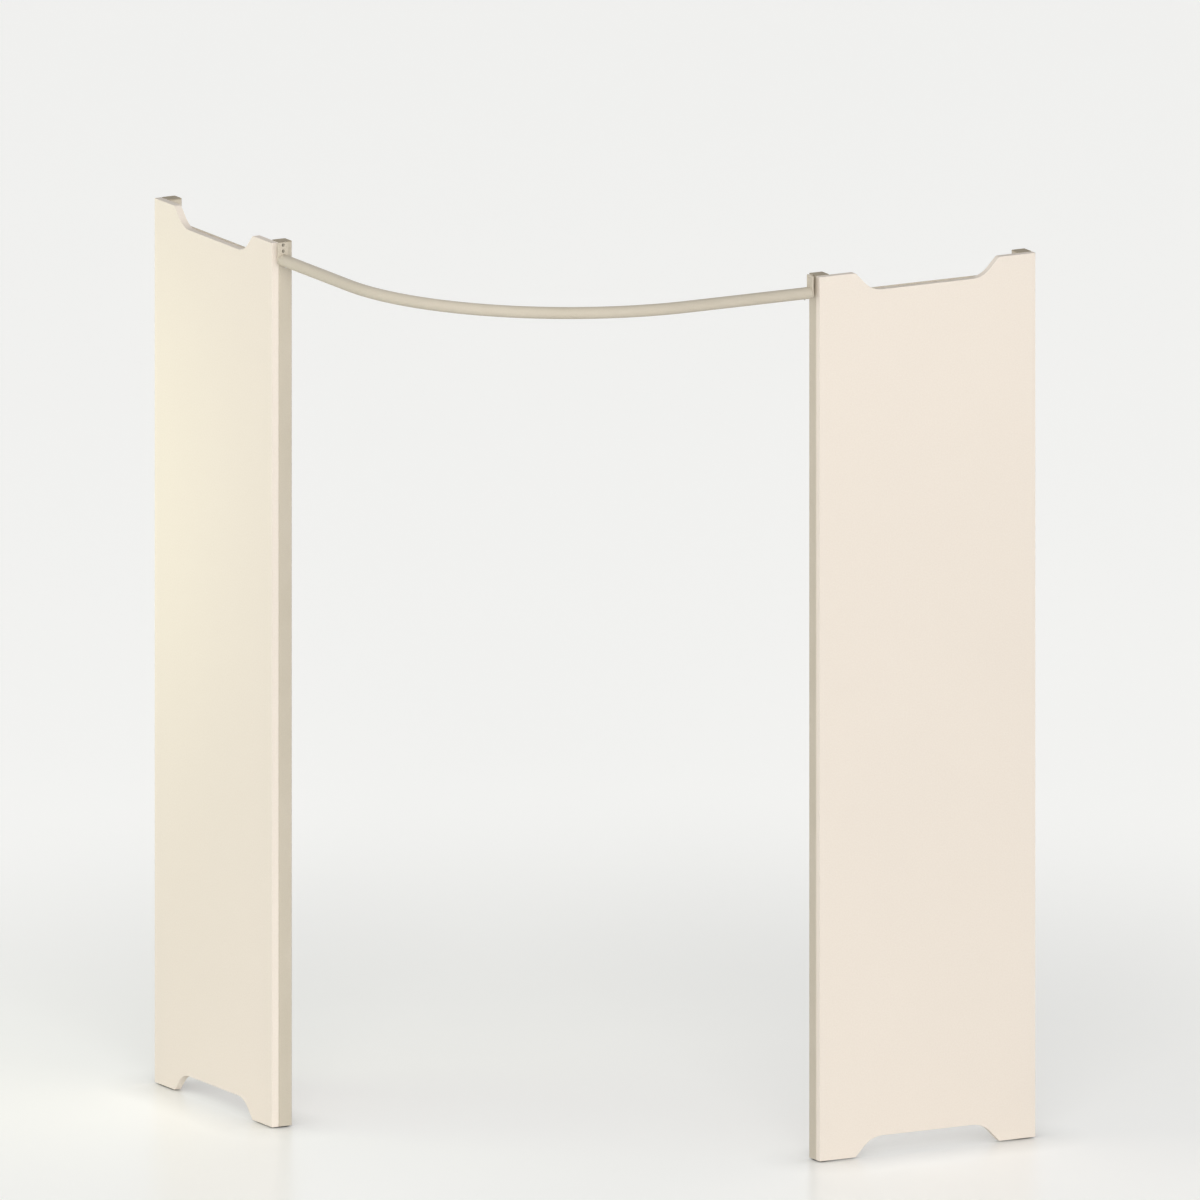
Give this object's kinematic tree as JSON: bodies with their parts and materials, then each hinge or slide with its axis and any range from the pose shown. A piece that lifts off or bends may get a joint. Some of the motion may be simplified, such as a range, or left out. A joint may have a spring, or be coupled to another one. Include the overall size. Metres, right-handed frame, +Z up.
{
  "type": "corner fitting room",
  "caption": "Corner fitting room of scalloped boards on square posts with levelling feet, set at right angles and joined at the top by a curved curtain rail.",
  "frame": {"origin": "on the floor, under the middle of the square plan", "axes": "+Z up. The left board's outer face looks along -X and the right board's along -Y. The walls that it is fixed to stand at the +X and +Y sides, and the way in is at the corner between -X and -Y."},
  "size_m": [1.508, 1.508, 2.1055],
  "materials": {
    "board": "smooth cream lacquer on fibreboard, satin",
    "coat": "taupe powder coat, fine texture, satin",
    "cap": "matte",
    "insert": "matte, dark grey",
    "steel": "zinc plated"
  },
  "bodies": {
    "frame": {"curtain_rail": "coat", "left_panel": "board", "left_upper_strip": "coat", "left_lower_strip": "coat", "left_upper_strip_screw_1": "steel", "left_upper_strip_screw_2": "steel", "left_lower_strip_screw_1": "steel", "left_lower_strip_screw_2": "steel", "left_rail_angle": "coat", "left_rail_plate": "coat", "left_rail_plate_screw_1": "coat", "left_rail_plate_screw_2": "coat", "left_rail_grub_screw": "steel", "left_wall_post": "coat", "left_wall_post_cap": "cap", "left_wall_foot_insert": "insert", "left_wall_panel_screw_1": "steel", "left_wall_panel_screw_2": "steel", "left_wall_panel_screw_3": "steel", "left_free_post": "coat", "left_free_post_cap": "cap", "left_free_foot_insert": "insert", "left_free_panel_screw_1": "steel", "left_free_panel_screw_2": "steel", "left_free_panel_screw_3": "steel", "right_panel": "board", "right_upper_strip": "coat", "right_lower_strip": "coat", "right_upper_strip_screw_1": "steel", "right_upper_strip_screw_2": "steel", "right_lower_strip_screw_1": "steel", "right_lower_strip_screw_2": "steel", "right_rail_angle": "coat", "right_rail_plate": "coat", "right_rail_plate_screw_1": "coat", "right_rail_plate_screw_2": "coat", "right_rail_grub_screw": "steel", "right_wall_post": "coat", "right_wall_post_cap": "cap", "right_wall_foot_insert": "insert", "right_wall_panel_screw_1": "steel", "right_wall_panel_screw_2": "steel", "right_wall_panel_screw_3": "steel", "right_free_post": "coat", "right_free_post_cap": "cap", "right_free_foot_insert": "insert", "right_free_panel_screw_1": "steel", "right_free_panel_screw_2": "steel", "right_free_panel_screw_3": "steel"},
    "left_wall_leveller": {"left_wall_foot_stem": "steel", "left_wall_foot_pad": "insert"},
    "left_free_leveller": {"left_free_foot_stem": "steel", "left_free_foot_pad": "insert"},
    "right_free_leveller": {"right_free_foot_stem": "steel", "right_free_foot_pad": "insert"},
    "right_wall_leveller": {"right_wall_foot_stem": "steel", "right_wall_foot_pad": "insert"}
  },
  "joints": [
    {"name": "left_wall_levelling", "type": "slide", "parent": "frame", "child": "left_wall_leveller", "axis": [0, 0, -1], "range_m": [0, 0.012]},
    {"name": "left_free_levelling", "type": "slide", "parent": "frame", "child": "left_free_leveller", "axis": [0, 0, -1], "range_m": [0, 0.012]},
    {"name": "right_free_levelling", "type": "slide", "parent": "frame", "child": "right_free_leveller", "axis": [0, 0, -1], "range_m": [0, 0.012]},
    {"name": "right_wall_levelling", "type": "slide", "parent": "frame", "child": "right_wall_leveller", "axis": [0, 0, -1], "range_m": [0, 0.012]}
  ]
}
